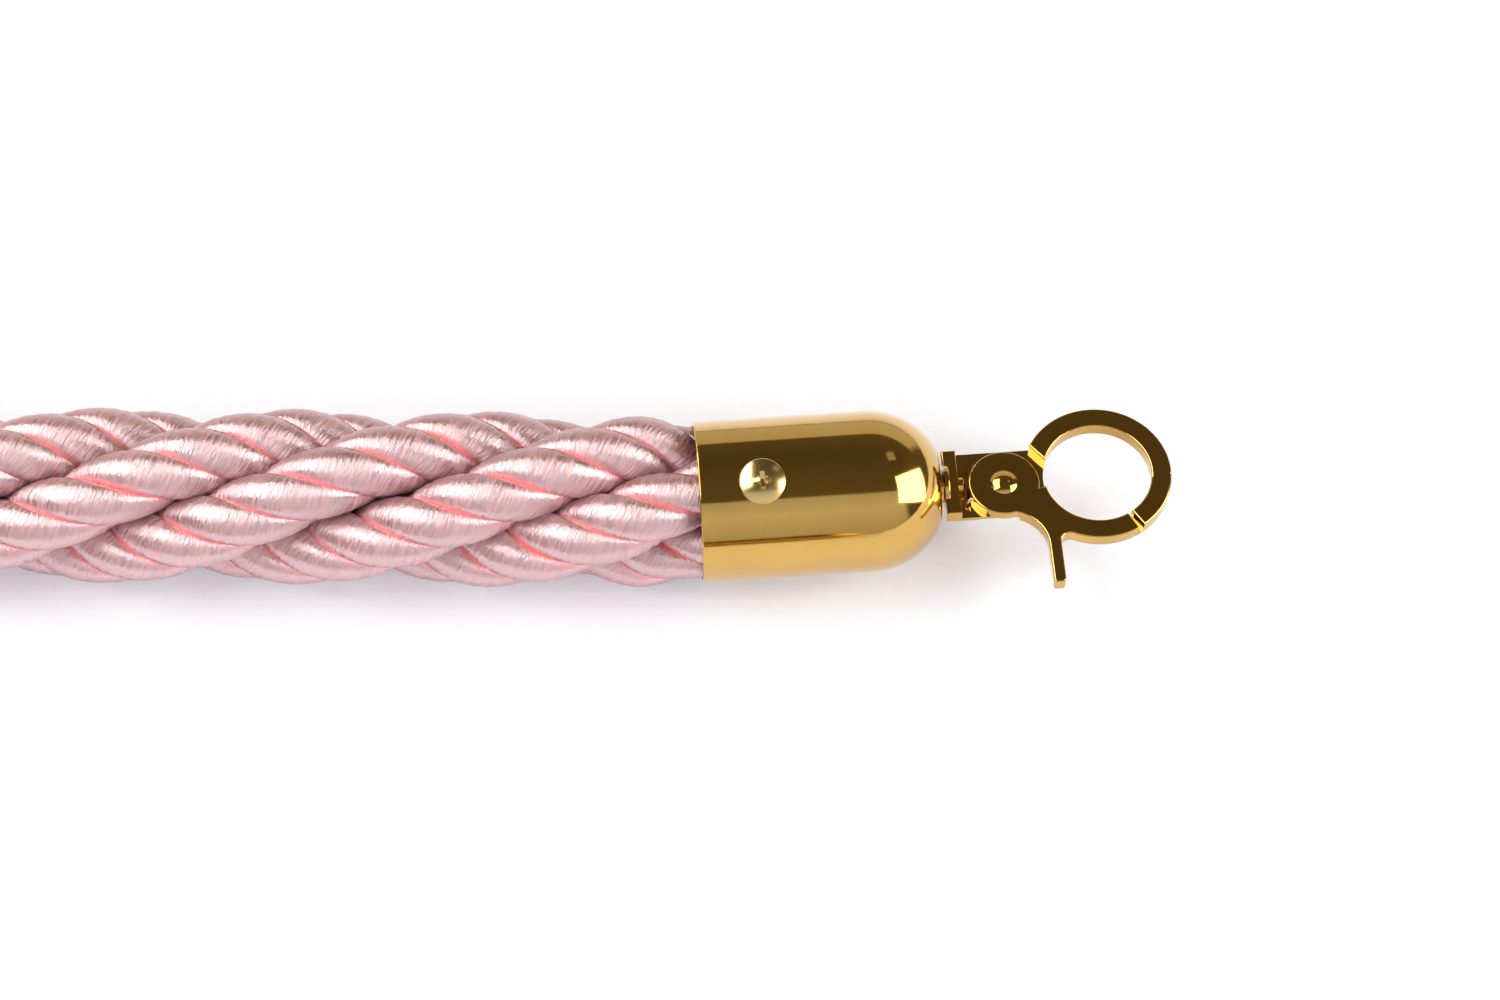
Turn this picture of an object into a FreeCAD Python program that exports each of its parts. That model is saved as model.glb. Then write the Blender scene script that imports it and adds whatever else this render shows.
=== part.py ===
"""Twisted satin barrier rope with a brass end fitting on each end.

Frame: millimetres, +Z up, the rope lying on the floor plane z = 0. Both end
fittings point along +X, and the origin is under the middle of the two fittings.
The rope is folded once into a U. Fitting "a" is on the far leg (+Y), "b" on the near leg.
Each fitting is modelled in its own frame, mouth of the cap at x = 0 on the X axis,
then placed.
"""
import FreeCAD
import Part

import math
import os

V = FreeCAD.Vector

# --- rope -----------------------------------------------------------------
ROPE_RADIUS = 21.2            # over the crests of the strands
ROPE_START = 2.2              # from the cap's mouth plane to the first point of the free rope
LEG_A_Y = 154.3               # fitting and rope axis of leg a
LEG_B_Y = -144.7
MIN_BEND_RADIUS = 3 * 2 * ROPE_RADIUS

# --- end cap --------------------------------------------------------------
CAP_RADIUS = 19.5
CAP_WALL = 0.9
CAP_CYLINDER = 41.0           # straight part, from the mouth
CAP_LENGTH = 58.2             # to the flat at the top of the dome
DOME_CORNER = 4.0             # rounding between the dome and its flat
CAP_LIP = 0.4                 # rounding of the mouth edge
CAP_HOLE_RADIUS = 2.05        # for the threaded tail of the swivel stud
AXIS_HEIGHT = 21.24           # fitting axis above the floor, where the rear screw touches it

# --- cap screws (pan head, cross recess) -----------------------------------
SCREW_X = 15.0
SCREW_ELEVATION = 72.0        # degrees above the horizontal, on the -Y side
SCREW_HEAD_RADIUS = 5.5
SCREW_HEAD_EDGE = 0.9
SCREW_HEAD_HEIGHT = 2.2
SCREW_SHANK_RADIUS = 1.8
SCREW_LENGTH = 12.0
SCREW_THREAD_PITCH = 1.4
RECESS_DEPTH = 1.4
RECESS_SPAN = 5.6
RECESS_WIDTH = 1.15

# --- rope end inside the cap -------------------------------------------------
ROPE_END_RADIUS = 18.4
ROPE_END_DEPTH = 34.0
TAPE_INNER_RADIUS = 17.6
TAPE_START = 22.0

# --- swivel stud, washer and nut ----------------------------------------------
STUD_TAIL_RADIUS = 2.0
STUD_TAIL_DEPTH = 8.0
FLANGE_RADIUS = 4.0
FLANGE_THICKNESS = 1.1
NECK_RADIUS = 1.3
NECK_CLEARANCE = 0.06
STUD_HEAD_RADIUS = 1.9
STUD_HEAD_LENGTH = 1.2
WASHER_RADIUS = 6.0
WASHER_THICKNESS = 1.0
NUT_ACROSS_FLATS = 7.0
NUT_THICKNESS = 3.2

# --- hook ---------------------------------------------------------------------
HALF_THICKNESS = 2.0          # the hook is a flat casting
BLOCK_LENGTH = 3.6
BLOCK_HALF_WIDTH = 8.8
BOSS_RADIUS = 5.1
BOSS_LENGTH = 1.2
SWIVEL_GAP = 0.1
PLATE_TOP = -0.6              # recessed plate under the gate's disc
POCKET_WIDTH = 2.6
POCKET_LOW_Y = -7.1
POCKET_HIGH_Y = 3.9
POCKET_FLOOR = -2.05
PAD_THICKNESS = 0.7           # thicker back under the pocket
RING_OUTER = 17.9
RING_INNER = 13.0
EYE_FROM_PIVOT = 22.8
PIVOT_Y = -1.1
JAW_TIP_ANGLE = -58.0
LIP_ANGLE = -66.0
LIP_TOP = -0.65
EDGE_ROUND = 0.5

BLOCK_START = CAP_LENGTH + FLANGE_THICKNESS + SWIVEL_GAP
BLOCK_END = BLOCK_START + BLOCK_LENGTH
PIVOT_X = CAP_LENGTH + 15.6
EYE_X = PIVOT_X + EYE_FROM_PIVOT
FITTING_LENGTH = EYE_X + RING_OUTER
MOUTH_X = -FITTING_LENGTH / 2

# --- gate, rivet and spring ------------------------------------------------------
GATE_BOTTOM = -0.5
DISC_RADIUS = 8.6
DISC_CLEARANCE_RADIUS = 9.0   # the gate's deep part stays outside this circle
GATE_TIP_FRONT_ANGLE = -62.5
GATE_TIP_BACK_ANGLE = -66.8
GATE_ARM_END_ANGLE = -168.0
LEVER_LEFT = 9.0              # from the pivot
LEVER_WIDTH = 3.0
LEVER_REACH = 28.0
WEB_ROUND = 9.5               # concave sweep from the disc into the lever
LEVER_ROUND = 2.3             # inner corner between lever and jaw
LEVER_END_ROUND = 0.9
RIVET_RADIUS = 1.8
RIVET_CLEARANCE = 0.06
RIVET_HEAD_RADIUS = 3.25
RIVET_HEAD_HEIGHT = 1.25
RIVET_TAIL_RADIUS = 2.6
RIVET_TAIL_HEIGHT = 0.5
RIVET_HEAD_GAP = 0.08
WIRE_HALF = 0.3
PIN_RADIUS = 0.37
PIN_TOP = 0.2
SPRING_RADIUS = 4.5
SPRING_STEP = 0.66            # the coil closes in by this much each turn
SPRING_HALF_TURNS = 4
SPRING_Z = -0.9
SPRING_LEG = 8.8
SPRING_LEG_ANGLE = 139.0      # where the leg leaves the coil
GATE_TRAVEL = 28.0            # degrees that the gate opens


def box(low, high):
    """A box from its lowest to its highest corner."""
    size = V(*high) - V(*low)
    return Part.makeBox(size.x, size.y, size.z, V(*low))


def upright(radius, low_z, high_z, x, y):
    """A vertical cylinder."""
    return Part.makeCylinder(radius, high_z - low_z, V(x, y, low_z))


def along_x(radius, start_x, end_x):
    """A cylinder on the fitting's axis."""
    return Part.makeCylinder(radius, end_x - start_x, V(start_x, 0, 0), V(1, 0, 0))


def prism(points, low_z, high_z):
    """A vertical prism over a closed outline of (x, y) points."""
    corners = [V(x, y, low_z) for x, y in points]
    face = Part.Face(Part.makePolygon(corners + corners[:1]))
    return face.extrude(V(0, 0, high_z - low_z))


def ring_sector(start_angle, end_angle, low_z, high_z):
    """Part of the eye's ring, between two angles in degrees."""
    centre = V(EYE_X, 0, low_z)
    pie = Part.makeCylinder(RING_OUTER, high_z - low_z, centre, V(0, 0, 1), end_angle - start_angle)
    pie.rotate(centre, V(0, 0, 1), start_angle)
    return pie.cut(upright(RING_INNER, low_z - 1, high_z + 1, EYE_X, 0))


def revolve_about_x(points):
    """A turned solid from its closed half outline of (x, radius) points."""
    corners = [V(x, 0, r) for x, r in points]
    face = Part.Face(Part.makePolygon(corners + corners[:1]))
    return face.revolve(V(0, 0, 0), V(1, 0, 0), 360)


def edges_where(shape, test):
    return [edge for edge in shape.Edges if test(edge)]


def lies_at(edge, z):
    bounds = edge.BoundBox
    return abs(bounds.ZMin - z) < 1e-4 and abs(bounds.ZMax - z) < 1e-4


def line(start, end):
    return Part.LineSegment(start, end).toShape()


def arc(start, middle, end):
    return Part.Arc(start, middle, end).toShape()


def dome_outline(radius, flat_x, corner):
    """Edges of one dome surface in the XZ plane, from the cylinder to the axis,
    and its first and last points."""
    centre_x = CAP_CYLINDER
    corner_x = flat_x - corner
    corner_r = math.sqrt((radius - corner) ** 2 - (corner_x - centre_x) ** 2)
    tangent_angle = math.atan2(corner_r, corner_x - centre_x)

    def on_dome(angle):
        return V(centre_x + radius * math.cos(angle), 0, radius * math.sin(angle))

    def on_corner(angle):
        return V(corner_x + corner * math.cos(angle), 0, corner_r + corner * math.sin(angle))

    start = V(centre_x, 0, radius)
    end = V(flat_x, 0, 0)
    edges = [
        arc(start, on_dome((math.pi / 2 + tangent_angle) / 2), on_dome(tangent_angle)),
        arc(on_dome(tangent_angle), on_corner(tangent_angle / 2), on_corner(0)),
        line(on_corner(0), end),
    ]
    return edges, start, end


def end_cap():
    """A thin drawn shell: cylinder, dome with a small flat, rounded mouth."""
    inner_radius = CAP_RADIUS - CAP_WALL
    outer, outer_start, outer_end = dome_outline(CAP_RADIUS, CAP_LENGTH, DOME_CORNER)
    inner, inner_start, inner_end = dome_outline(
        inner_radius, CAP_LENGTH - CAP_WALL, DOME_CORNER - CAP_WALL
    )
    lip_mid = CAP_LIP * (1 - math.sqrt(0.5))
    lip = arc(V(0, 0, CAP_RADIUS - CAP_LIP), V(lip_mid, 0, CAP_RADIUS - lip_mid), V(CAP_LIP, 0, CAP_RADIUS))
    outline = [
        lip,
        line(V(CAP_LIP, 0, CAP_RADIUS), outer_start),
        *outer,
        line(outer_end, inner_end),
        *inner,
        line(inner_start, V(0, 0, inner_radius)),
        line(V(0, 0, inner_radius), V(0, 0, CAP_RADIUS - CAP_LIP)),
    ]
    face = Part.Face(Part.Wire(Part.__sortEdges__(outline)))
    shell = face.revolve(V(0, 0, 0), V(1, 0, 0), 360)
    shell = shell.cut(along_x(CAP_HOLE_RADIUS, CAP_LENGTH - 5, CAP_LENGTH + 5))
    hole = Part.makeCylinder(SCREW_SHANK_RADIUS + 0.2, 60, V(SCREW_X, 0, -30))
    return shell.cut(tilt_to_screw(hole))


def tilt_to_screw(shape):
    """Turns something built along +Z to the front screw's direction."""
    turned = shape.copy()
    turned.rotate(V(0, 0, 0), V(1, 0, 0), 90 - SCREW_ELEVATION)
    return turned


def screw(front):
    """A self-tapping screw, head on the cap, thread in the rope's end."""
    dome_radius = (SCREW_HEAD_RADIUS ** 2 + (SCREW_HEAD_HEIGHT - SCREW_HEAD_EDGE) ** 2) / (
        2 * (SCREW_HEAD_HEIGHT - SCREW_HEAD_EDGE)
    )
    head = Part.makeCylinder(SCREW_HEAD_RADIUS, SCREW_HEAD_HEIGHT, V(0, 0, 0))
    crown = Part.makeSphere(dome_radius, V(0, 0, SCREW_HEAD_HEIGHT - dome_radius))
    head = head.common(crown)
    rim = edges_where(head, lambda e: abs(e.BoundBox.ZMin - SCREW_HEAD_EDGE) < 1e-3
                      and abs(e.BoundBox.ZMax - SCREW_HEAD_EDGE) < 1e-3)
    head = head.makeFillet(0.4, rim)

    tip_z = -SCREW_LENGTH
    outline = [(0.0, 0.5), (0.0, 0.0), (tip_z, 0.0)]
    root = SCREW_SHANK_RADIUS - 0.45
    turns = int((SCREW_LENGTH - 4.0) / SCREW_THREAD_PITCH)
    outline.append((-3.0 - turns * SCREW_THREAD_PITCH, root))
    for turn in range(turns, 0, -1):
        z = -3.0 - turn * SCREW_THREAD_PITCH
        outline.append((z + SCREW_THREAD_PITCH / 2, SCREW_SHANK_RADIUS))
        outline.append((z + SCREW_THREAD_PITCH, root))
    outline += [(-2.6, SCREW_SHANK_RADIUS), (0.5, SCREW_SHANK_RADIUS), (0.5, 0.5)]
    shank = revolve_about_x(outline)
    shank.rotate(V(0, 0, 0), V(0, 1, 0), -90)

    half = RECESS_SPAN / 2
    low, high = SCREW_HEAD_HEIGHT - RECESS_DEPTH, SCREW_HEAD_HEIGHT + 1
    recess = box((-half, -RECESS_WIDTH / 2, low), (half, RECESS_WIDTH / 2, high))
    recess = recess.fuse(box((-RECESS_WIDTH / 2, -half, low), (RECESS_WIDTH / 2, half, high)))
    cone = Part.makeCone(0.9, 1.9, high - low, V(0, 0, low))
    recess = recess.fuse(cone)
    bevel = Part.makeCone(0.5, half + 1.0, high - low, V(0, 0, low))
    whole = head.fuse(shank).cut(recess.common(bevel)).removeSplitter()
    whole.translate(V(SCREW_X, 0, CAP_RADIUS))
    whole = tilt_to_screw(whole)
    if not front:
        whole.rotate(V(0, 0, 0), V(1, 0, 0), 180)
    return whole


def rope_direction(heading):
    """Unit vector of the free rope as it leaves the mouth, in the fitting's frame."""
    angle = math.radians(heading)
    return V(math.cos(angle), math.sin(angle), 0)


def rope_end(heading, screws):
    """The squeezed end of the rope in the cap, with a thinner taped tail."""
    thick = along_x(ROPE_END_RADIUS, -12, TAPE_START)
    thin = along_x(TAPE_INNER_RADIUS, TAPE_START, ROPE_END_DEPTH)
    away = rope_direction(heading)
    start = V(-ROPE_START, -ROPE_START * away.y / away.x, 0)
    free_side = Part.makeCylinder(60, 60, start, away)
    body = thick.fuse(thin).cut(free_side)
    for each in screws:
        body = body.cut(each)
    return body


def binding_tape():
    sleeve = along_x(ROPE_END_RADIUS, TAPE_START, ROPE_END_DEPTH)
    return sleeve.cut(along_x(TAPE_INNER_RADIUS, TAPE_START - 1, ROPE_END_DEPTH + 1))


def swivel_stud():
    """Threaded tail in the cap, flange outside it, neck through the hook, head in its pocket."""
    tail_start = CAP_LENGTH - STUD_TAIL_DEPTH
    flange_end = CAP_LENGTH + FLANGE_THICKNESS
    neck_end = BLOCK_END + SWIVEL_GAP
    stud = along_x(STUD_TAIL_RADIUS, tail_start, CAP_LENGTH)
    flange = along_x(FLANGE_RADIUS, CAP_LENGTH, flange_end)
    flange = flange.makeFillet(0.3, edges_where(flange, lambda e: abs(e.Length - 2 * math.pi * FLANGE_RADIUS) < 0.1))
    stud = stud.fuse(flange)
    stud = stud.fuse(along_x(NECK_RADIUS, flange_end, neck_end))
    head = along_x(STUD_HEAD_RADIUS, neck_end, neck_end + STUD_HEAD_LENGTH)
    outer_rim = edges_where(head, lambda e: abs(e.CenterOfMass.x - neck_end - STUD_HEAD_LENGTH) < 1e-4)
    return stud.fuse(head.makeChamfer(0.3, outer_rim)).removeSplitter()


def backing_washer():
    inner_face = CAP_LENGTH - CAP_WALL
    washer = along_x(WASHER_RADIUS, inner_face - WASHER_THICKNESS, inner_face)
    return washer.cut(along_x(CAP_HOLE_RADIUS, inner_face - 5, inner_face + 5))


def stud_nut():
    start = CAP_LENGTH - CAP_WALL - WASHER_THICKNESS - NUT_THICKNESS
    across_corners = NUT_ACROSS_FLATS / math.cos(math.pi / 6)
    corners = []
    for index in range(6):
        angle = math.radians(60 * index)
        corners.append(V(start, across_corners / 2 * math.cos(angle), across_corners / 2 * math.sin(angle)))
    hexagon = Part.Face(Part.makePolygon(corners + corners[:1])).extrude(V(NUT_THICKNESS, 0, 0))
    return hexagon.cut(along_x(STUD_TAIL_RADIUS, start - 1, start + NUT_THICKNESS + 1))


def hook_body():
    """Flat casting: swivel block with a boss, recessed plate, upper jaw of the eye."""
    low, high = -HALF_THICKNESS, HALF_THICKNESS
    block = box((BLOCK_START, -BLOCK_HALF_WIDTH, low), (BLOCK_END, BLOCK_HALF_WIDTH, high))
    plate = box((BLOCK_END, -BLOCK_HALF_WIDTH, low), (PIVOT_X, BLOCK_HALF_WIDTH, PLATE_TOP))
    heel = upright(BLOCK_HALF_WIDTH + PIVOT_Y, low, PLATE_TOP, PIVOT_X, PIVOT_Y)
    bridge = box((PIVOT_X, PIVOT_Y - 1.9, low), (EYE_X - 12.0, BLOCK_HALF_WIDTH, PLATE_TOP))
    bridge = bridge.cut(upright(RING_INNER, low - 1, high + 1, EYE_X, 0))

    jaw = ring_sector(JAW_TIP_ANGLE, 170.0, low, high)
    step_high = (EYE_X - 16.3, BLOCK_HALF_WIDTH + 0.8)
    step_low = (EYE_X - 12.0, 4.2)
    left_of_step = [step_high, step_low, (step_low[0], -5), (PIVOT_X - 5, -5), (PIVOT_X - 5, step_high[1])]
    jaw = jaw.cut(prism(left_of_step, PLATE_TOP, high + 1))
    jaw = jaw.cut(prism([(PIVOT_X, -6), (EYE_X - 8, -6), (EYE_X - 8, 2), (PIVOT_X, 2)], low - 1, high + 1))
    lip = ring_sector(LIP_ANGLE, JAW_TIP_ANGLE, low, LIP_TOP)

    body = block.fuse([plate, heel, bridge, jaw, lip]).removeSplitter()
    rims = edges_where(body, lambda e: lies_at(e, high) or lies_at(e, low))
    body = body.makeFillet(EDGE_ROUND, rims)

    boss = along_x(BOSS_RADIUS, BLOCK_START, BLOCK_START + BOSS_LENGTH)
    boss_rim = edges_where(boss, lambda e: abs(e.CenterOfMass.x - BLOCK_START - BOSS_LENGTH) < 1e-4)
    boss = boss.makeFillet(0.4, boss_rim)
    pad = box((BLOCK_END - 1.4, POCKET_LOW_Y - 1.2, low - PAD_THICKNESS),
              (BLOCK_END + POCKET_WIDTH + 1.6, POCKET_HIGH_Y + 1.2, PLATE_TOP))
    body = body.fuse([boss, pad]).removeSplitter()

    pocket = box((BLOCK_END, POCKET_LOW_Y, POCKET_FLOOR), (BLOCK_END + POCKET_WIDTH, POCKET_HIGH_Y, high + 1))
    body = body.cut(pocket)
    body = body.cut(along_x(NECK_RADIUS + NECK_CLEARANCE, BLOCK_START - 1, BLOCK_END + 1))
    body = body.cut(upright(RIVET_RADIUS, low - 1, high, PIVOT_X, PIVOT_Y))
    return body.cut(spring_groove())


def spring_points():
    """The spring's flat coil: where its leg starts, and each half turn's start, centre and end."""
    pivot = V(PIVOT_X, PIVOT_Y, SPRING_Z)
    angle = math.radians(SPRING_LEG_ANGLE)
    out = V(math.cos(angle), math.sin(angle), 0)
    along = V(math.sin(angle), -math.cos(angle), 0)
    start = pivot + out * SPRING_RADIUS
    leg_end = start - along * SPRING_LEG
    turns = []
    radius, side = SPRING_RADIUS, out
    for _ in range(SPRING_HALF_TURNS):
        centre = start - side * radius
        end = centre - side * radius
        turns.append((start, centre, end))
        start, side = end, side * -1
        radius -= SPRING_STEP / 2
    return leg_end, turns


def gate_spring():
    """A torsion spring wound flat from square wire, one leg in the hook's pocket,
    one pin up into the gate."""
    leg_end, turns = spring_points()
    low, high = SPRING_Z - WIRE_HALF, SPRING_Z + WIRE_HALF
    wire = box((0, -WIRE_HALF, low), (SPRING_LEG, WIRE_HALF, high))
    wire.rotate(V(0, 0, 0), V(0, 0, 1), SPRING_LEG_ANGLE - 90)
    wire.translate(V(leg_end.x, leg_end.y, 0))
    for start, centre, _ in turns:
        arm = start - centre
        foot = V(centre.x, centre.y, low)
        half = Part.makeCylinder(arm.Length + WIRE_HALF, high - low, foot, V(0, 0, 1), 180)
        half.rotate(foot, V(0, 0, 1), math.degrees(math.atan2(arm.y, arm.x)) - 180)
        half = half.cut(upright(arm.Length - WIRE_HALF, low - 1, high + 1, centre.x, centre.y))
        wire = wire.fuse(half)
    end = turns[-1][2]
    return wire.fuse(upright(PIN_RADIUS, low, PIN_TOP, end.x, end.y))


def spring_groove():
    """The room for the spring in the recessed plate."""
    leg_end, turns = spring_points()
    floor = SPRING_Z - WIRE_HALF - 0.05
    ring = upright(SPRING_RADIUS + 0.5, floor, PLATE_TOP + 1, PIVOT_X, PIVOT_Y)
    ring = ring.cut(upright(RIVET_RADIUS + 0.7, floor - 1, PLATE_TOP + 2, PIVOT_X, PIVOT_Y))
    slot = box((-1.0, -0.45, floor), (SPRING_LEG, 0.45, PLATE_TOP + 1))
    heading = turns[0][0] - leg_end
    slot.rotate(V(0, 0, 0), V(0, 0, 1), math.degrees(math.atan2(heading.y, heading.x)))
    slot.translate(V(leg_end.x, leg_end.y, 0))
    return ring.fuse(slot)


def gate_outline_solid(low, high, tip_angle):
    """The gate's shape between two heights: disc, web, lower jaw and thumb lever."""
    disc = upright(DISC_RADIUS, low, high, PIVOT_X, PIVOT_Y)
    arm = ring_sector(GATE_ARM_END_ANGLE, tip_angle, low, high)
    lever = box((PIVOT_X + LEVER_LEFT, PIVOT_Y - LEVER_REACH, low),
                (PIVOT_X + LEVER_LEFT + LEVER_WIDTH, PIVOT_Y - 12.0, high))
    web_points = [(0, 0), (0, -17.5), (LEVER_LEFT + 0.5, -17.5), (11.9, -12.5), (13.5, -10), (12, -4.5), (8.0, -2.2)]
    web = prism([(PIVOT_X + x, PIVOT_Y + y) for x, y in web_points], low, high)
    web = web.cut(upright(WEB_ROUND, low - 1, high + 1, PIVOT_X + LEVER_LEFT - WEB_ROUND, PIVOT_Y - 17.5))
    web = web.cut(upright(RING_INNER, low - 1, high + 1, EYE_X, 0))
    return disc.fuse([arm, lever, web]).removeSplitter()


def is_upright(edge):
    return edge.BoundBox.XLength < 1e-3 and edge.BoundBox.YLength < 1e-3


def with_rounded_lever(layer):
    """Rounds the inner corner beside the lever and the lever's two end corners."""
    corner_x = PIVOT_X + LEVER_LEFT + LEVER_WIDTH
    inner_corner = edges_where(
        layer, lambda e: is_upright(e) and abs(e.BoundBox.XMin - corner_x) < 0.01 and -16.0 < e.BoundBox.YMin < -11.0
    )
    layer = layer.makeFillet(LEVER_ROUND, inner_corner)
    end_y = PIVOT_Y - LEVER_REACH
    lever_end = edges_where(layer, lambda e: is_upright(e) and abs(e.BoundBox.YMin - end_y) < 0.01)
    return layer.makeFillet(LEVER_END_ROUND, lever_end)


def deep_part_of_gate():
    """The lower half of the gate's thickness, only where it clears the recessed plate."""
    low, high = -HALF_THICKNESS, GATE_BOTTOM
    solid = gate_outline_solid(low, high, GATE_TIP_BACK_ANGLE)
    cut_low, cut_high = low - 1, high + 1
    shelf_y = PIVOT_Y - 2.3
    heel_x = PIVOT_X + 3.0
    solid = solid.cut(upright(DISC_CLEARANCE_RADIUS, cut_low, cut_high, PIVOT_X, PIVOT_Y))
    solid = solid.cut(box((PIVOT_X - 12, shelf_y, cut_low), (EYE_X, PIVOT_Y + 20, cut_high)))
    solid = solid.cut(box((PIVOT_X - 12, PIVOT_Y - 20, cut_low), (heel_x, PIVOT_Y, cut_high)))
    solid = with_rounded_lever(solid)

    def on_outline(edge):
        middle = edge.valueAt((edge.FirstParameter + edge.LastParameter) / 2)
        from_pivot = math.hypot(middle.x - PIVOT_X, middle.y - PIVOT_Y)
        return (lies_at(edge, low) and abs(from_pivot - DISC_CLEARANCE_RADIUS) > 0.05
                and middle.y < shelf_y - 0.05 and middle.x > heel_x + 0.05)

    return solid.makeFillet(EDGE_ROUND, edges_where(solid, on_outline))


def gate():
    """Spring gate: turns on the rivet, closes the eye from below."""
    high = HALF_THICKNESS
    front = with_rounded_lever(gate_outline_solid(GATE_BOTTOM, high, GATE_TIP_FRONT_ANGLE))
    front = front.makeFillet(EDGE_ROUND, edges_where(front, lambda e: lies_at(e, high)))
    whole = front.fuse(deep_part_of_gate()).removeSplitter()
    whole = whole.cut(upright(RIVET_RADIUS + RIVET_CLEARANCE, -high, high + 1, PIVOT_X, PIVOT_Y))
    return whole.cut(pin_slot())


def pin_slot():
    """An arc slot in the gate's underside, as long as the gate's travel, for the spring's pin."""
    _, turns = spring_points()
    foot = turns[-1][2] - V(PIVOT_X, PIVOT_Y, SPRING_Z)
    radius = foot.Length
    start = math.degrees(math.atan2(foot.y, foot.x)) - 10
    centre = V(PIVOT_X, PIVOT_Y, GATE_BOTTOM - 1)
    sweep = GATE_TRAVEL + 20
    outer = Part.makeCylinder(radius + 0.5, 2.0, centre, V(0, 0, 1), sweep)
    slot = outer.cut(Part.makeCylinder(radius - 0.5, 2.0, centre))
    slot.rotate(centre, V(0, 0, 1), start)
    return slot


def gate_rivet():
    """Domed head over the gate, shank through both, tail spread behind the plate."""
    under_head = HALF_THICKNESS + RIVET_HEAD_GAP
    dome_radius = (RIVET_HEAD_RADIUS ** 2 + RIVET_HEAD_HEIGHT ** 2) / (2 * RIVET_HEAD_HEIGHT)
    dome_centre = V(PIVOT_X, PIVOT_Y, under_head + RIVET_HEAD_HEIGHT - dome_radius)
    head = Part.makeSphere(dome_radius, dome_centre).common(
        upright(RIVET_HEAD_RADIUS + 1, under_head, under_head + 3, PIVOT_X, PIVOT_Y)
    )
    shank = upright(RIVET_RADIUS, -HALF_THICKNESS, under_head, PIVOT_X, PIVOT_Y)
    tail = Part.makeCone(RIVET_TAIL_RADIUS - 0.5, RIVET_TAIL_RADIUS, RIVET_TAIL_HEIGHT,
                         V(PIVOT_X, PIVOT_Y, -HALF_THICKNESS - RIVET_TAIL_HEIGHT))
    return head.fuse([shank, tail]).removeSplitter()


def rope_points():
    """The free rope's route, from the mouth of cap a round the U to the mouth of cap b."""
    start_x = MOUTH_X - ROPE_START
    floor_z = ROPE_RADIUS
    return [
        (start_x, LEG_A_Y + 0.2, AXIS_HEIGHT),
        (-222, LEG_A_Y + 16.4, floor_z),
        (-392, LEG_A_Y + 22, floor_z),
        (-500, LEG_A_Y + 6, floor_z),
        (-580, 100, floor_z),
        (-611, 5, floor_z),
        (-581, -92, floor_z),
        (-502, -153, floor_z),
        (-392, -172, floor_z),
        (-224, -155, floor_z),
        (start_x, LEG_B_Y - 0.2, AXIS_HEIGHT),
    ]


def rope_tube(points):
    """Straight runs joined by tangent arcs, each as large as its two runs allow."""
    corners = [V(*point) for point in points]
    edges = []
    length = 0.0
    here = corners[0]
    for before, corner, after in zip(corners, corners[1:], corners[2:]):
        arriving, leaving = corner - before, after - corner
        turn = arriving.getAngle(leaving)
        reach = 0.45 * min(arriving.Length, leaving.Length)
        radius = reach / math.tan(turn / 2)
        print(f"rope bend: turn {math.degrees(turn):.1f} deg, radius {radius:.0f} mm")
        if radius < MIN_BEND_RADIUS:
            raise ValueError("rope bend is too tight")
        arriving.normalize()
        leaving.normalize()
        start, end = corner - arriving * reach, corner + leaving * reach
        inward = (leaving - arriving).normalize()
        middle = corner + inward * (math.hypot(radius, reach) - radius)
        edges += [line(here, start), arc(start, middle, end)]
        length += (start - here).Length + radius * turn
        here = end
    edges.append(line(here, corners[-1]))
    length += (corners[-1] - here).Length
    path = Part.Wire(edges)
    section = Part.Wire(Part.makeCircle(ROPE_RADIUS, corners[0], corners[1] - corners[0]))
    tube = path.makePipeShell([section], True, False)
    expected = math.pi * ROPE_RADIUS ** 2 * length
    print(f"rope length {length:.1f} mm, volume ratio {tube.Volume / expected:.4f}")
    return tube


def heading_from(point, mouth_y):
    """Angle of the free rope at a mouth, towards the next point of the route."""
    return math.degrees(math.atan2(point[1] - mouth_y, point[0] - MOUTH_X))


def fitting(suffix, axis_y, heading):
    """All the pieces of one end fitting, in place."""
    front_screw, rear_screw = screw(True), screw(False)
    pieces = {
        "end_cap": end_cap(),
        "front_cap_screw": front_screw,
        "rear_cap_screw": rear_screw,
        "rope_end": rope_end(heading, [front_screw, rear_screw]),
        "binding_tape": binding_tape(),
        "swivel_stud": swivel_stud(),
        "backing_washer": backing_washer(),
        "stud_nut": stud_nut(),
        "hook_body": hook_body(),
        "hook_gate": gate(),
        "gate_rivet": gate_rivet(),
        "gate_spring": gate_spring(),
    }
    placed = {}
    for name, shape in pieces.items():
        shape.translate(V(MOUTH_X, axis_y, AXIS_HEIGHT))
        placed[f"{name}_{suffix}"] = shape
    return placed


def main():
    route = rope_points()
    nodes = {"twisted_rope": rope_tube(route)}
    nodes.update(fitting("a", LEG_A_Y, heading_from(route[1], LEG_A_Y)))
    nodes.update(fitting("b", LEG_B_Y, heading_from(route[-2], LEG_B_Y)))
    os.makedirs("parts", exist_ok=True)
    for name, shape in nodes.items():
        if not shape.isValid() or not shape.Solids:
            raise ValueError(f"{name} is not a valid solid")
        shape.exportStep(f"parts/{name}.step")
    print(f"{len(nodes)} nodes")


main()
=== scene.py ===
import math

import bpy
import numpy as np
from mathutils import Matrix, Vector


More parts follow.
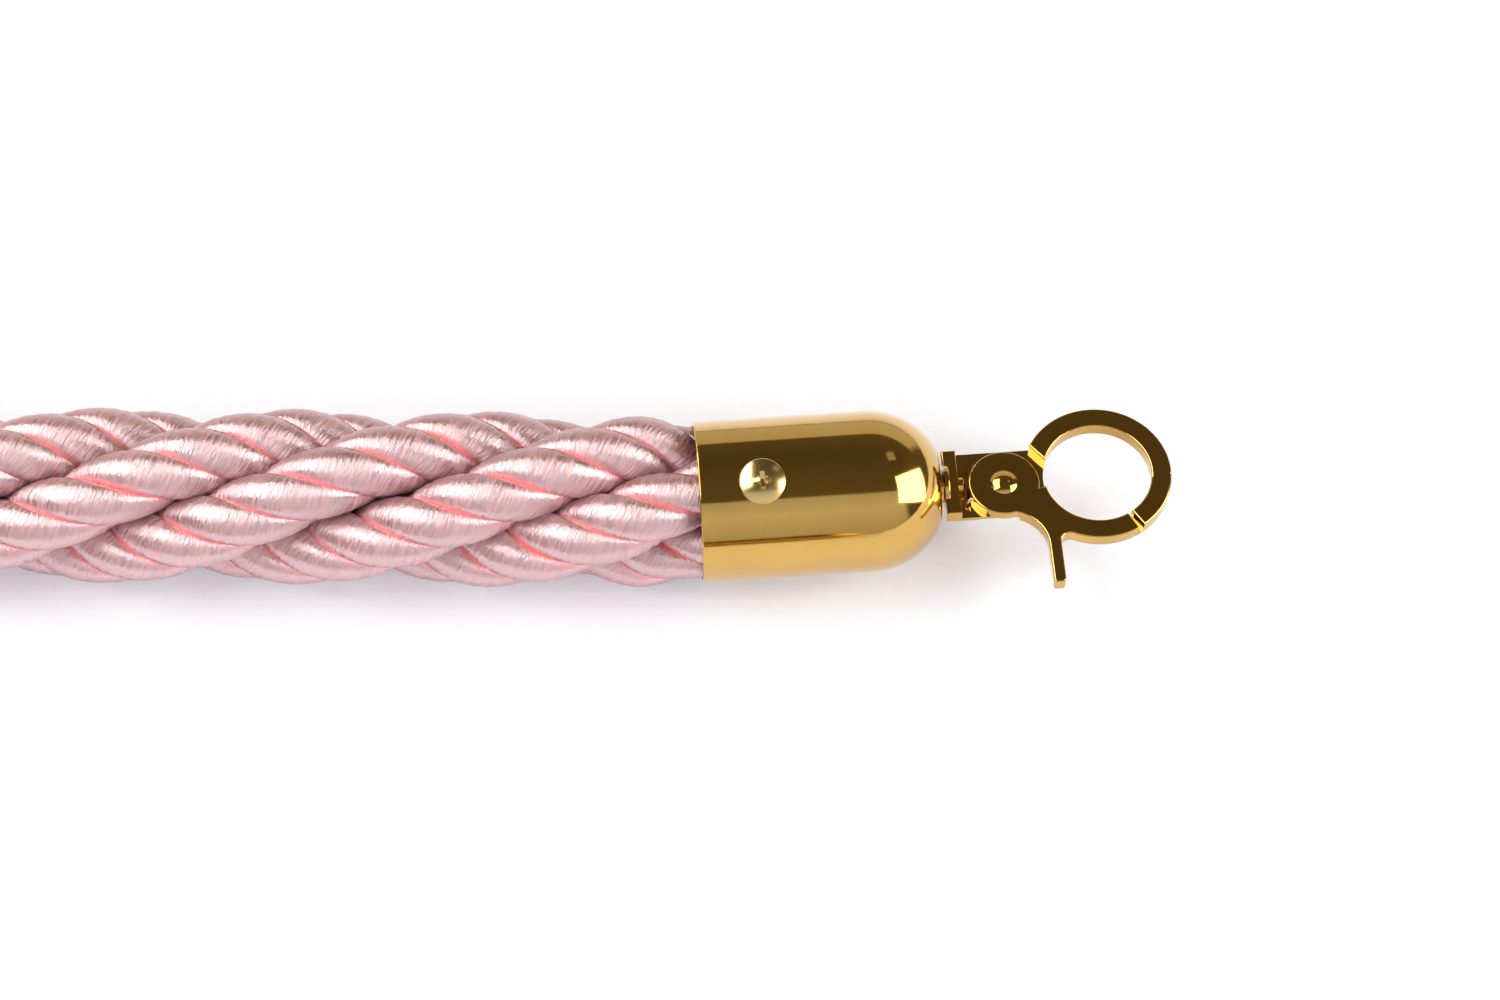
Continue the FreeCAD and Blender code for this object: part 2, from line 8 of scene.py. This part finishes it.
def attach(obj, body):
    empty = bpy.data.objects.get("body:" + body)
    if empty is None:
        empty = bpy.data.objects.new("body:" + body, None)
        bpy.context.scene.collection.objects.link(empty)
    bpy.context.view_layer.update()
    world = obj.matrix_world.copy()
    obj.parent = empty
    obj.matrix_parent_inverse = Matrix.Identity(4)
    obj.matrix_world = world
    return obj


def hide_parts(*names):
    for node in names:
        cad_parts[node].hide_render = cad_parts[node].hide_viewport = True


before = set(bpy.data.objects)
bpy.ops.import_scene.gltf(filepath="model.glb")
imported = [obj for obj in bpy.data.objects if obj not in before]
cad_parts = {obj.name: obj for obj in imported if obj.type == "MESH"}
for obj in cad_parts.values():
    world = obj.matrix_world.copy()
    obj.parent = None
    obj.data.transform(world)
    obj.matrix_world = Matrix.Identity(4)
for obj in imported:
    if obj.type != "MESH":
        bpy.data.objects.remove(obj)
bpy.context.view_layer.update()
bpy.context.scene.view_settings.view_transform = "Standard"


def place(obj):
    """Link an object into the scene, and give it back."""
    bpy.context.scene.collection.objects.link(obj)
    return obj


# ---------------------------------------------------------------- camera

CAMERA_PLACE = (-0.0843, -0.3094, 0.8354)
CAMERA_TURN_DEG = (29.74, -0.24, -4.47)
CAMERA_LENS = 93.6
CAMERA_SENSOR = 36.0


def make_camera():
    data = bpy.data.cameras.new("camera")
    data.lens = CAMERA_LENS
    data.sensor_width = CAMERA_SENSOR
    camera = place(bpy.data.objects.new("camera", data))
    camera.location = CAMERA_PLACE
    camera.rotation_euler = [math.radians(angle) for angle in CAMERA_TURN_DEG]
    bpy.context.scene.camera = camera


make_camera()

# ---------------------------------------------------------------- rope route

# The route's points, in metres, as in the CAD: out of one cap, round a fold and into the other.
ROUTE = [
    (-0.05945, 0.1545, 0.02124),
    (-0.222, 0.1707, 0.0212),
    (-0.392, 0.1763, 0.0212),
    (-0.500, 0.1603, 0.0212),
    (-0.580, 0.100, 0.0212),
    (-0.611, 0.005, 0.0212),
    (-0.581, -0.092, 0.0212),
    (-0.502, -0.153, 0.0212),
    (-0.392, -0.172, 0.0212),
    (-0.224, -0.155, 0.0212),
    (-0.05945, -0.1449, 0.02124),
]
ROUTE_ORDER = 3
ROUTE_RESOLUTION = 24
INTO_CAP = 0.010  # how far the rope goes on inside each cap


def route_line():
    """Points of the route's NURBS line, in order."""
    curve = bpy.data.curves.new("route", "CURVE")
    curve.dimensions = "3D"
    curve.resolution_u = ROUTE_RESOLUTION
    spline = curve.splines.new("NURBS")
    spline.points.add(len(ROUTE) - 1)
    for point, at in zip(spline.points, ROUTE):
        point.co = (*at, 1.0)
    spline.order_u = ROUTE_ORDER
    spline.use_endpoint_u = True
    holder = place(bpy.data.objects.new("route", curve))
    mesh = bpy.data.meshes.new_from_object(holder)
    points = [vertex.co.copy() for vertex in mesh.vertices]
    bpy.data.meshes.remove(mesh)
    bpy.data.objects.remove(holder)
    bpy.data.curves.remove(curve)
    return points


def unit(vectors):
    return vectors / np.linalg.norm(vectors, axis=1, keepdims=True)


def along(points, places):
    """Points at these lengths along a polyline, and its total length."""
    p = np.array([tuple(point) for point in points])
    run = np.concatenate([[0.0], np.cumsum(np.linalg.norm(np.diff(p, axis=0), axis=1))])
    return np.stack([np.interp(places, run, p[:, i]) for i in range(3)], axis=1), run[-1]


# ---------------------------------------------------------------- rope

STRANDS = 4
STRAND_OFFSET = 0.0124  # strand centre from the rope's axis
ROPE_LAY = 0.182  # length of one turn of a strand round the rope
PHASE = math.radians(86.0)

CORDS = 3  # in each strand
CORD_OFFSET = 0.0048  # cord centre from the strand's axis
CORD_DEEP = 0.0040  # half a cord's size towards the strand's axis
CORD_WIDE = 0.0053  # half a cord's size across that, pressed flatter by its neighbours
CORD_SIDES = 16
STRAND_LAY = 0.0355  # length of one turn of a cord round its strand
STRAND_PHASE = 0.4

CORE_RADIUS = 0.0045
CORE_SIDES = 6

# Rings lie closer together over the first stretch, and further apart over the rest.
NEAR_STRETCH = 0.2
NEAR_STEP = 0.0017
FAR_STEP = 0.0033
SMOOTHING_ROUNDS = 4

# Inside a cap the rope is squeezed; outside it swells to its full width.
SQUEEZED = 0.868
SWELL_START = 0.0005
SWELL_LENGTH = 0.013
SWELL_POWER = 1.2

# Small waves that keep the winding uneven: their size, and radians of wave per metre of rope.
STRAND_SWAY = (0.03, 41.0)
CORD_SWAY = (0.09, 67.0)
CORD_QUIVER = (0.05, 151.0)
CORD_SWELLING = (0.02, 90.0)

U_PER_METRE = 100  # the UV layer's U runs in centimetres
U_STEP = 7.3  # between cords, so that their patterns differ


class Tubes:
    """The closed tubes of one mesh, gathered one after the other."""

    def __init__(self):
        self.verts, self.faces, self.uvs, self.count = [], [], [], 0

    def add(self, line_points, inward, deep, wide, u_of, sides):
        """A tube along these points. Its UV seam faces inward; V runs once round it."""
        rings = len(line_points)
        t = unit(np.gradient(line_points, axis=0))
        a = unit(inward - t * np.sum(inward * t, axis=1, keepdims=True))
        b = np.cross(t, a)
        angles = np.arange(sides) * 2 * math.pi / sides
        ring = (
            line_points[:, None, :]
            + deep[:, None, None] * np.cos(angles)[None, :, None] * a[:, None, :]
            + wide[:, None, None] * np.sin(angles)[None, :, None] * b[:, None, :]
        )
        self.verts.append(ring.reshape(-1, 3))
        for i in range(rings - 1):
            here = self.count + i * sides
            there = here + sides
            for j in range(sides):
                k = (j + 1) % sides
                self.faces.append((here + j, here + k, there + k, there + j))
                v0, v1 = j / sides, (j + 1) / sides
                u0, u1 = u_of[i], u_of[i + 1]
                self.uvs.extend([(u0, v0), (u0, v1), (u1, v1), (u1, v0)])
        self.close(self.count, reversed(range(sides)), u_of[0], sides)
        self.close(self.count + (rings - 1) * sides, range(sides), u_of[-1], sides)
        self.count += rings * sides

    def close(self, first, order, u, sides):
        order = list(order)
        self.faces.append(tuple(first + j for j in order))
        self.uvs.extend([(u, j / sides) for j in order])

    def mesh(self, name):
        mesh = bpy.data.meshes.new(name)
        mesh.from_pydata(np.concatenate(self.verts).tolist(), [], self.faces)
        layer = mesh.uv_layers.new(name="along")
        layer.data.foreach_set("uv", np.array(self.uvs, dtype=np.float32).ravel())
        mesh.polygons.foreach_set("use_smooth", [True] * len(mesh.polygons))
        mesh.update()
        return mesh


def ring_places(total):
    """Lengths along the rope at which its rings lie."""
    places = [0.0]
    while places[-1] < total:
        places.append(places[-1] + (NEAR_STEP if places[-1] < NEAR_STRETCH else FAR_STEP))
    places = np.array(places)
    return places * (total / places[-1])


def frame_along(centre, places):
    """The rope's tangent, its sideways direction and its upward one at each ring."""
    smooth = centre.copy()
    for _ in range(SMOOTHING_ROUNDS):
        smooth[1:-1] = (smooth[:-2] + 2 * smooth[1:-1] + smooth[2:]) / 4
    tangent = unit(np.gradient(smooth, places, axis=0))
    side = unit(np.cross(np.array([0.0, 0.0, 1.0]), tangent))
    return tangent, side, np.cross(tangent, side)


def wave(kind, places, start):
    size, pace = kind
    return size * np.sin(places * pace + start)


def rope_mesh(path):
    """Strands of wound cords, laid round a core."""
    total = along(path, [0.0])[1]
    places = ring_places(total)
    centre, _ = along(path, places)
    tangent, side, rise = frame_along(centre, places)

    outside = np.minimum(places - INTO_CAP, (total - places) - INTO_CAP)
    swell = np.clip((outside - SWELL_START) / SWELL_LENGTH, 0.0, 1.0)
    fullness = np.sin(swell * math.pi / 2) ** SWELL_POWER
    squeeze = (SQUEEZED + (1.0 - SQUEEZED) * fullness)[:, None]

    tubes = Tubes()
    tilt = math.atan(2 * math.pi * STRAND_OFFSET / ROPE_LAY)
    for k in range(STRANDS):
        phi = PHASE - 2 * math.pi * places / ROPE_LAY + k * 2 * math.pi / STRANDS
        phi = phi + wave(STRAND_SWAY, places, 2.1 * k)
        e1 = np.cos(phi)[:, None] * side + np.sin(phi)[:, None] * rise
        e2 = -np.sin(phi)[:, None] * side + np.cos(phi)[:, None] * rise
        f2 = e2 * math.cos(tilt) + tangent * math.sin(tilt)
        middle = centre + squeeze * STRAND_OFFSET * e1
        for j in range(CORDS):
            psi = STRAND_PHASE + 2 * math.pi * places / STRAND_LAY + j * 2 * math.pi / CORDS
            psi = psi + wave(CORD_SWAY, places, 1.7 * k + 0.9 * j)
            psi = psi + wave(CORD_QUIVER, places, 2.3 * j + k)
            out = np.cos(psi)[:, None] * e1 + np.sin(psi)[:, None] * f2
            size = squeeze[:, 0] * (1.0 + wave(CORD_SWELLING, places, 3.0 * k + 1.3 * j))
            tubes.add(
                middle + squeeze * CORD_OFFSET * out,
                -out,
                CORD_DEEP * size,
                CORD_WIDE * size,
                places * U_PER_METRE + U_STEP * (CORDS * k + j),
                CORD_SIDES,
            )
    core = CORE_RADIUS * squeeze[:, 0]
    tubes.add(centre, side, core, core, places * U_PER_METRE, CORE_SIDES)
    return tubes.mesh("rope")


line = route_line()
inside = Vector((INTO_CAP, 0.0, 0.0))
path = [line[0] + inside] + line + [line[-1] + inside]
rope = place(bpy.data.objects.new("rope", rope_mesh(path)))
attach(rope, "rope_with_caps")
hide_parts("twisted_rope", "rope_end_a", "rope_end_b")

# ---------------------------------------------------------------- node helpers


class Nodes:
    """A node tree, with short ways to add and join nodes."""

    def __init__(self, tree):
        self.tree = tree

    def add(self, kind, **settings):
        node = self.tree.nodes.new(kind)
        for key, value in settings.items():
            setattr(node, key, value)
        return node

    def join(self, source, target):
        self.tree.links.new(source, target)

    def fill(self, node, **values):
        """Set a node's sockets by name, with _ for a space."""
        for key, value in values.items():
            node.inputs[key.replace("_", " ")].default_value = value

    def coordinates(self, output):
        return self.add("ShaderNodeTexCoord").outputs[output]

    def mapping(self, source, scale):
        node = self.add("ShaderNodeMapping")
        self.fill(node, Scale=scale)
        self.join(source, node.inputs["Vector"])
        return node.outputs["Vector"]

    def noise(self, vector, scale, detail, roughness):
        node = self.add("ShaderNodeTexNoise")
        self.fill(node, Scale=scale, Detail=detail, Roughness=roughness)
        self.join(vector, node.inputs["Vector"])
        return node.outputs["Fac"]

    def ramp(self, fac, *stops):
        node = self.add("ShaderNodeValToRGB")
        elements = node.color_ramp.elements
        while len(elements) < len(stops):
            elements.new(0.5)
        for element, (at, colour) in zip(elements, stops):
            element.position = at
            element.color = (*colour, 1.0)
        self.join(fac, node.inputs["Fac"])
        return node.outputs["Color"]

    def spread(self, fac, low, high, start=0.3, stop=0.7):
        """The factor's stretch from start to stop, spread over low to high."""
        node = self.add("ShaderNodeMapRange")
        self.fill(node, From_Min=start, From_Max=stop, To_Min=low, To_Max=high)
        self.join(fac, node.inputs["Value"])
        return node.outputs["Result"]

    def math(self, operation, first, second=None):
        node = self.add("ShaderNodeMath", operation=operation)
        for socket, value in zip(node.inputs, (first, second)):
            if isinstance(value, float):
                socket.default_value = value
            elif value is not None:
                self.join(value, socket)
        return node.outputs[0]

    def mix(self, factor, first, second, blend="MIX"):
        node = self.add("ShaderNodeMix", data_type="RGBA", blend_type=blend)
        sockets = (node.inputs[0], node.inputs[6], node.inputs[7])
        for socket, value in zip(sockets, (factor, first, second)):
            if isinstance(value, (float, tuple)):
                socket.default_value = value
            else:
                self.join(value, socket)
        return node.outputs[2]

    def bump(self, height, strength, distance, before=None):
        node = self.add("ShaderNodeBump")
        self.fill(node, Strength=strength, Distance=distance)
        self.join(height, node.inputs["Height"])
        if before is not None:
            self.join(before, node.inputs["Normal"])
        return node.outputs["Normal"]


class Surface(Nodes):
    """The node tree of a new material."""

    def __init__(self, name):
        self.material = bpy.data.materials.new(name)
        self.material.use_nodes = True
        super().__init__(self.material.node_tree)
        self.shader = self.tree.nodes["Principled BSDF"]

    def feed(self, socket, source):
        self.join(source, self.shader.inputs[socket])

    def set(self, **values):
        self.fill(self.shader, **values)


# ---------------------------------------------------------------- materials

FIBRE_LEAN = 0.35  # centimetres along the cord that the filaments lean by in one turn
FIBRE_SCALE = 26.0


def satin():
    """Wound satin. Filaments run round the cord; between cords a saturated red is painted in as
    bounced light, then painted shade fills the deepest gap.
    """
    n = Surface("rope_satin")
    uv = n.add("ShaderNodeUVMap", uv_map="along").outputs["UV"]
    parts = n.add("ShaderNodeSeparateXYZ")
    n.join(uv, parts.inputs[0])
    u, v = parts.outputs["X"], parts.outputs["Y"]
    # How far round from the crest: 0 on the crest, 1 on the inward side.
    from_crest = n.math("MULTIPLY", n.math("ABSOLUTE", n.math("SUBTRACT", v, 0.5)), 2.0)
    lean_node = n.add("ShaderNodeCombineXYZ")
    n.join(n.math("ADD", u, n.math("MULTIPLY", v, FIBRE_LEAN)), lean_node.inputs["X"])
    n.join(v, lean_node.inputs["Y"])
    lean = lean_node.outputs[0]

    fibre = n.noise(n.mapping(lean, (1.0, 0.16, 1.0)), FIBRE_SCALE, 1.5, 0.5)
    ripple = n.noise(n.mapping(lean, (1.0, 0.40, 1.0)), FIBRE_SCALE, 1.5, 0.5)
    bundle = n.noise(n.mapping(lean, (1.0, 0.25, 1.0)), 9.0, 2.0, 0.5)
    patch = n.noise(n.mapping(uv, (1.0, 2.0, 1.0)), 0.9, 2.0, 0.5)

    thread = n.ramp(
        fibre,
        (0.34, (0.19, 0.058, 0.055)),
        (0.5, (0.32, 0.112, 0.106)),
        (0.66, (0.50, 0.20, 0.20)),
    )
    tone = n.ramp(patch, (0.3, (0.90, 0.86, 0.88)), (0.7, (1.0, 1.0, 1.0)))
    body = n.mix(1.0, thread, tone, "MULTIPLY")
    # Painted bounce light: towards the gap between cords the colour turns a saturated red, standing
    # in for light bounced from cord to cord.
    painted_bounce_mask = n.spread(from_crest, 0.0, 1.0, 0.35, 0.51)
    seam = n.mix(painted_bounce_mask, body, (0.90, 0.13, 0.125, 1.0))
    # Painted shade: deepest in the gap between cords the colour turns nearly black.
    dark = n.spread(from_crest, 0.0, 1.0, 0.53, 0.585)
    n.feed("Base Color", n.mix(dark, seam, (0.16, 0.01, 0.01, 1.0)))

    n.feed("Roughness", n.spread(fibre, 0.30, 0.56))
    n.feed("Normal", n.bump(ripple, 1.0, 0.00027, n.bump(bundle, 0.5, 0.0003)))
    tangent = n.add("ShaderNodeTangent", direction_type="UV_MAP", uv_map="along")
    n.feed("Tangent", tangent.outputs["Tangent"])
    n.set(
        Anisotropic=0.85,
        IOR=3.0,
        Specular_IOR_Level=1.0,
        Specular_Tint=(1.0, 0.85, 0.87, 1.0),
        Sheen_Weight=0.06,
        Sheen_Roughness=0.4,
        Sheen_Tint=(1.0, 0.85, 0.88, 1.0),
    )
    return n.material


def gold(name, base, low, high, scratch):
    """Polished, lacquered brass; its roughness wanders between low and high."""
    n = Surface(name)
    where = n.coordinates("Object")
    fine = n.noise(n.mapping(where, (60.0, 900.0, 900.0)), 3.0, 3.0, 0.6)
    cloud = n.noise(where, 90.0, 3.0, 0.55)
    n.feed("Roughness", n.spread(cloud, low, high))
    n.feed("Base Color", n.ramp(cloud, (0.3, tuple(0.9 * c for c in base)), (0.7, base)))
    n.feed("Normal", n.bump(fine, scratch, 0.00002))
    n.set(Metallic=1.0, Coat_Weight=0.6, Coat_Roughness=0.03)
    return n.material


def steel(name):
    n = Surface(name)
    grain = n.noise(n.coordinates("Object"), 700.0, 3.0, 0.6)
    n.feed("Base Color", n.ramp(grain, (0.3, (0.50, 0.51, 0.52)), (0.7, (0.66, 0.66, 0.65))))
    n.feed("Roughness", n.spread(grain, 0.25, 0.45))
    n.feed("Normal", n.bump(grain, 0.2, 0.00003))
    n.set(Metallic=1.0)
    return n.material


def tape():
    n = Surface("binding_tape")
    weave = n.noise(n.mapping(n.coordinates("Object"), (300.0, 1500.0, 1500.0)), 1.0, 3.0, 0.6)
    n.feed("Base Color", n.ramp(weave, (0.3, (0.20, 0.155, 0.13)), (0.7, (0.33, 0.27, 0.23))))
    n.feed("Roughness", n.spread(weave, 0.55, 0.8))
    n.feed("Normal", n.bump(weave, 0.4, 0.0001))
    return n.material


def paper():
    n = Surface("floor_paper")
    grain = n.noise(n.coordinates("Object"), 400.0, 2.0, 0.5)
    n.feed("Base Color", n.ramp(grain, (0.3, (0.77, 0.775, 0.81)), (0.7, (0.79, 0.795, 0.83))))
    n.set(Roughness=0.9, Specular_IOR_Level=0.1)
    return n.material


rope.data.materials.append(satin())
cap_gold = gold("cap_gold", (0.62, 0.37, 0.078), 0.06, 0.10, 0.25)
hook_gold = gold("hook_gold", (0.62, 0.36, 0.072), 0.06, 0.12, 0.15)
screw_brass = gold("screw_brass", (0.74, 0.53, 0.20), 0.16, 0.24, 0.2)
zinc_steel = steel("zinc_steel")
spring_wire = steel("spring_wire")

FINISH_OF = {
    "end_cap": cap_gold,
    "front_cap_screw": screw_brass,
    "rear_cap_screw": screw_brass,
    "binding_tape": tape(),
    "swivel_stud": hook_gold,
    "backing_washer": zinc_steel,
    "stud_nut": zinc_steel,
    "hook_body": hook_gold,
    "hook_gate": hook_gold,
    "gate_rivet": hook_gold,
    "gate_spring": spring_wire,
}
for part, finish in FINISH_OF.items():
    for end in ("a", "b"):
        for material_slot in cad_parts[f"{part}_{end}"].material_slots:
            material_slot.material = finish

# ---------------------------------------------------------------- floor and light

FLOOR_HALF = 6
STUDIO_SHADE = (0.145, 0.12, 0.075)
LIT_SPOT = Vector((-0.01, 0.15, 0.03))  # near the dome of cap a, which the lamps face


def make_floor():
    mesh = bpy.data.meshes.new("floor")
    corners = [(x * FLOOR_HALF, y * FLOOR_HALF, 0) for x, y in ((-1, -1), (1, -1), (1, 1), (-1, 1))]
    mesh.from_pydata(corners, [], [(0, 1, 2, 3)])
    mesh.materials.append(paper())
    place(bpy.data.objects.new("floor", mesh))


def make_world():
    """A bright wall in front up to a sharp edge, a dark ceiling, and a pale strip at the back."""
    world = bpy.data.worlds.new("studio")
    world.use_nodes = True
    bpy.context.scene.world = world
    n = Nodes(world.node_tree)
    background = world.node_tree.nodes["Background"]
    compass = n.add("ShaderNodeSeparateXYZ")
    n.join(n.coordinates("Generated"), compass.inputs[0])
    front = n.math("MULTIPLY", compass.outputs["Y"], -1.0)
    # 0 straight ahead at the horizon, 0.5 overhead, 1 behind at the horizon.
    turn = n.math("DIVIDE", n.math("ARCTAN2", compass.outputs["Z"], front), math.pi)
    zones = n.ramp(
        turn,
        (0.0, (0.64, 0.64, 0.66)),
        (0.20, (0.86, 0.87, 0.92)),
        (0.318, (0.64, 0.67, 0.77)),
        (0.326, (0.155, 0.130, 0.08)),
        (0.66, (0.110, 0.088, 0.052)),
        (0.832, (0.145, 0.120, 0.075)),
        (0.838, (0.70, 0.67, 0.59)),
        (1.0, (0.74, 0.71, 0.64)),
    )
    sideways = n.spread(n.math("ABSOLUTE", compass.outputs["X"]), 0.0, 1.0, 0.72, 0.80)
    n.join(n.mix(sideways, zones, (*STUDIO_SHADE, 1.0)), background.inputs["Color"])
    n.fill(background, Strength=1.0)


def softbox(name, direction, distance, wide, size, level, tint=(1.0, 1.0, 1.0)):
    """A lamp panel in that direction. wide is the way its width runs, and level its radiance."""
    lamp = bpy.data.lights.new(name, "AREA")
    lamp.shape = "RECTANGLE"
    lamp.size, lamp.size_y = size
    lamp.energy = level * math.pi * size[0] * size[1]
    lamp.color = tint
    holder = bpy.data.objects.new(name, lamp)
    away = Vector(direction).normalized()
    across = Vector(wide)
    across = (across - away * across.dot(away)).normalized()
    turned = Matrix((across, away.cross(across), away)).transposed().to_4x4()
    turned.translation = LIT_SPOT + away * distance
    holder.matrix_world = turned
    return place(holder)


make_floor()
make_world()
softbox("right_box", (0.887, -0.2, 0.417), 1.3, (0.39, 0.44, -0.61), (1.1, 0.85), 6.0)
softbox("left_box", (-0.62, 0.20, 0.75), 1.3, (-0.76, 0.0, -0.65), (0.8, 1.4), 5.2)
softbox("top_box", (0.50, 0.36, 0.79), 1.3, (1.0, 0.3, -0.6), (0.24, 0.24), 0.4)
front_fill = softbox(
    "front_fill", (-0.35, -0.72, 0.60), 2.2, (1.0, -0.5, 0.0), (2.0, 1.6), 2.8, (0.95, 0.96, 1.0)
)
front_fill.visible_glossy = False
